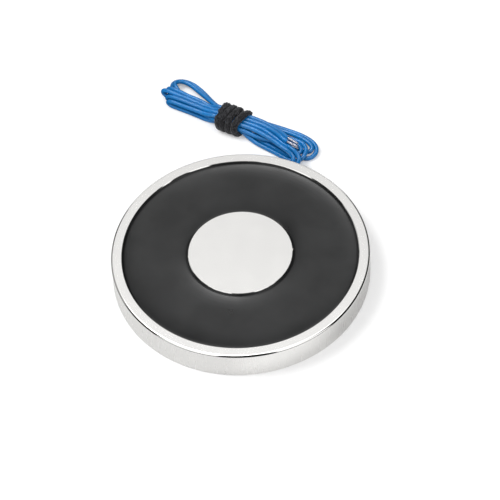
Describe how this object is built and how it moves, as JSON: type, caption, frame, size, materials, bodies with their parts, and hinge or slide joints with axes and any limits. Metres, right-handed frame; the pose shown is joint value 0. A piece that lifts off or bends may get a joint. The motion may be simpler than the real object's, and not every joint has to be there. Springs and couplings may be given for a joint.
{
  "type": "electromagnet",
  "caption": "Flat round potted holding electromagnet with a ring pole, a centre pole, a tapped back and two lead wires folded into a tied hank.",
  "frame": {"origin": "centre of the round back face, on the surface that the magnet lies on", "axes": "+Z out of the pole face along the magnet's axis; +Y towards the side where the leads and their hank lie; +X to the right, seen from the front of the picture"},
  "size_m": [0.1, 0.1506, 0.012],
  "materials": {
    "nickel_plated_steel": "low-carbon steel, turned, nickel plated, satin",
    "insulating_card": "polyester film",
    "natural_nylon": "glass-filled nylon, natural",
    "enamelled_copper": "enamelled copper wire",
    "amber_tape": "adhesive polyester tape",
    "clear_sleeving": "varnished glass sleeving",
    "solder": "soft solder",
    "black_heatshrink": "heat-shrink sleeve",
    "black_rubber": "moulded rubber",
    "potting_resin": "cast epoxy, dark grey",
    "blue_insulation": "soft lead insulation, blue",
    "tie_cord": "braided cord, black",
    "tinned_strands": "tinned copper strands"
  },
  "bodies": {
    "root": {"housing": "nickel_plated_steel", "base_insulator": "insulating_card", "bobbin": "natural_nylon", "winding": "enamelled_copper", "winding_tape": "amber_tape", "start_tail_sleeving": "clear_sleeving", "finish_tail_sleeving": "clear_sleeving", "start_splice": "solder", "finish_splice": "solder", "start_splice_sleeve": "black_heatshrink", "finish_splice_sleeve": "black_heatshrink", "grommet": "black_rubber", "potting": "potting_resin", "lead_a": "blue_insulation", "lead_b": "blue_insulation", "lead_hank": "blue_insulation", "hank_tie": "tie_cord", "lead_a_tip": "tinned_strands", "lead_b_tip": "tinned_strands"}
  },
  "joints": []
}
